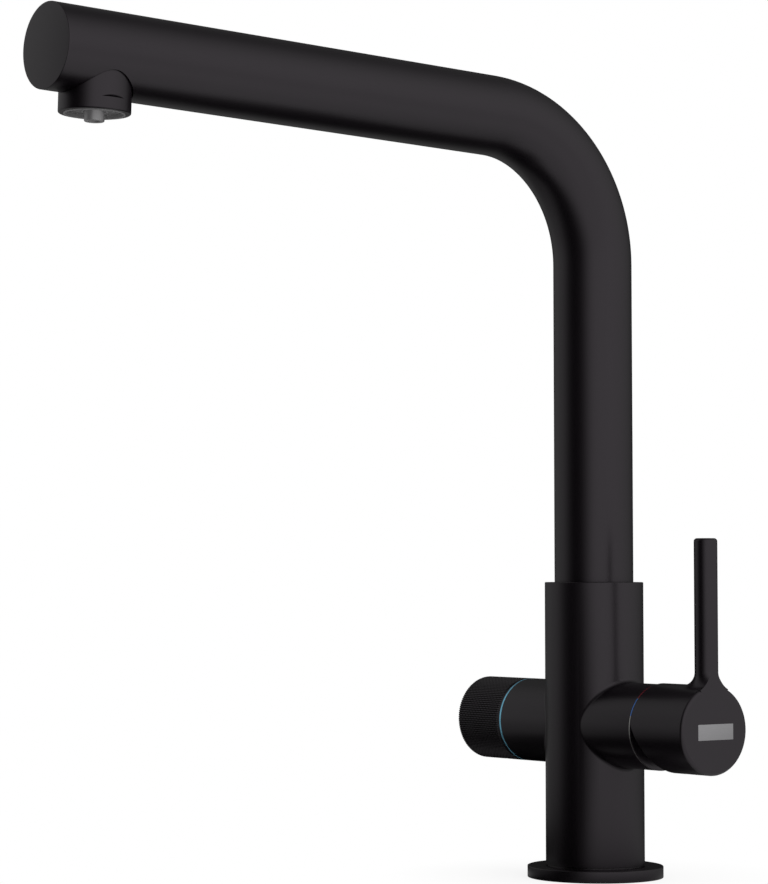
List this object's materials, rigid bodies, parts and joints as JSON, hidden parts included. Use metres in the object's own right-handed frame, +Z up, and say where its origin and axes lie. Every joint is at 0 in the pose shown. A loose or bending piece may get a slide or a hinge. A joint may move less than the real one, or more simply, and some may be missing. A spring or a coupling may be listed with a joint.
{
  "type": "kitchen tap with filtered water control",
  "caption": "Deck-mounted L-shaped kitchen tap with a swivelling round spout, a side mixer lever, a knurled filtered water knob and a double outlet with a central nozzle.",
  "frame": {"origin": "centre of the base, in the plane of the worktop, where the fixing stud screws in", "axes": "+Z up the column, -Y along the spout at rest, +X towards the mixer handle, -X towards the filtered water knob"},
  "size_m": [0.1277, 0.2711, 0.3077],
  "materials": {
    "black_coating": "satin",
    "knurled_black": "satin",
    "brass": "machined",
    "ring_steel": "brushed",
    "ring_blue": "gloss",
    "fastener_steel": "brushed",
    "seal_rubber": "matt",
    "ceramic": "polished",
    "cartridge_plastic": "moulded",
    "bearing_plastic": "moulded",
    "inner_hose_plastic": "extruded",
    "outlet_plastic": "moulded",
    "nozzle_plastic": "translucent"
  },
  "bodies": {
    "body": {"base_flange": "black_coating", "base_seal": "seal_rubber", "tap_body": "black_coating", "spout_bearing_ring": "bearing_plastic", "spout_lock_screw": "fastener_steel", "filter_tube_seal": "seal_rubber", "cartridge_housing": "cartridge_plastic", "cartridge_seals": "seal_rubber", "cartridge_fixed_disc": "ceramic", "cartridge_nut": "brass", "temperature_ring": "ring_steel", "filter_valve_housing": "brass", "filter_valve_seal": "seal_rubber", "filter_fixed_disc": "ceramic", "filter_ring": "ring_blue"},
    "spout": {"spout_tube": "black_coating", "spout_end_cap": "black_coating", "spout_spigot": "brass", "spout_o_rings": "seal_rubber", "filter_tube": "inner_hose_plastic", "aerator_socket": "brass", "aerator_collar": "black_coating", "aerator_insert": "outlet_plastic", "aerator_washer": "seal_rubber", "filter_nozzle": "nozzle_plastic"},
    "mixer_carrier": {"cartridge_carrier": "cartridge_plastic", "cartridge_pivot_pin": "fastener_steel"},
    "mixer_disc": {"cartridge_moving_disc": "ceramic", "cartridge_driver": "cartridge_plastic"},
    "mixer_lever": {"cartridge_spindle": "brass", "mixer_handle": "black_coating", "handle_screw": "fastener_steel"},
    "filter_control": {"filter_knob": "knurled_black", "filter_knob_screw": "fastener_steel", "filter_stem": "brass", "filter_stem_seal": "seal_rubber", "filter_moving_disc": "ceramic"}
  },
  "joints": [
    {"name": "spout_swivel", "type": "hinge", "parent": "body", "child": "spout", "pos_m": [0, 0, 0.1], "axis": [0, 0, 1], "range_deg": [-75, 75]},
    {"name": "mixer_turn", "type": "hinge", "parent": "body", "child": "mixer_carrier", "pos_m": [0.029, 0, 0.058], "axis": [1, 0, 0], "range_deg": [-45, 45]},
    {"name": "mixer_lift", "type": "hinge", "parent": "mixer_carrier", "child": "mixer_lever", "pos_m": [0.029, 0, 0.058], "axis": [0, 1, 0], "range_deg": [0, 25]},
    {"name": "disc_slide", "type": "slide", "parent": "mixer_carrier", "child": "mixer_disc", "axis": [0, 0, 1], "range_m": [0, 0.0038]},
    {"name": "filter_turn", "type": "hinge", "parent": "body", "child": "filter_control", "pos_m": [-0.04, 0, 0.058], "axis": [-1, 0, 0], "range_deg": [0, 90]}
  ],
  "couplings": [
    {"joint": "disc_slide", "follows": "mixer_lift", "m_per_rad": 0.0087172}
  ]
}
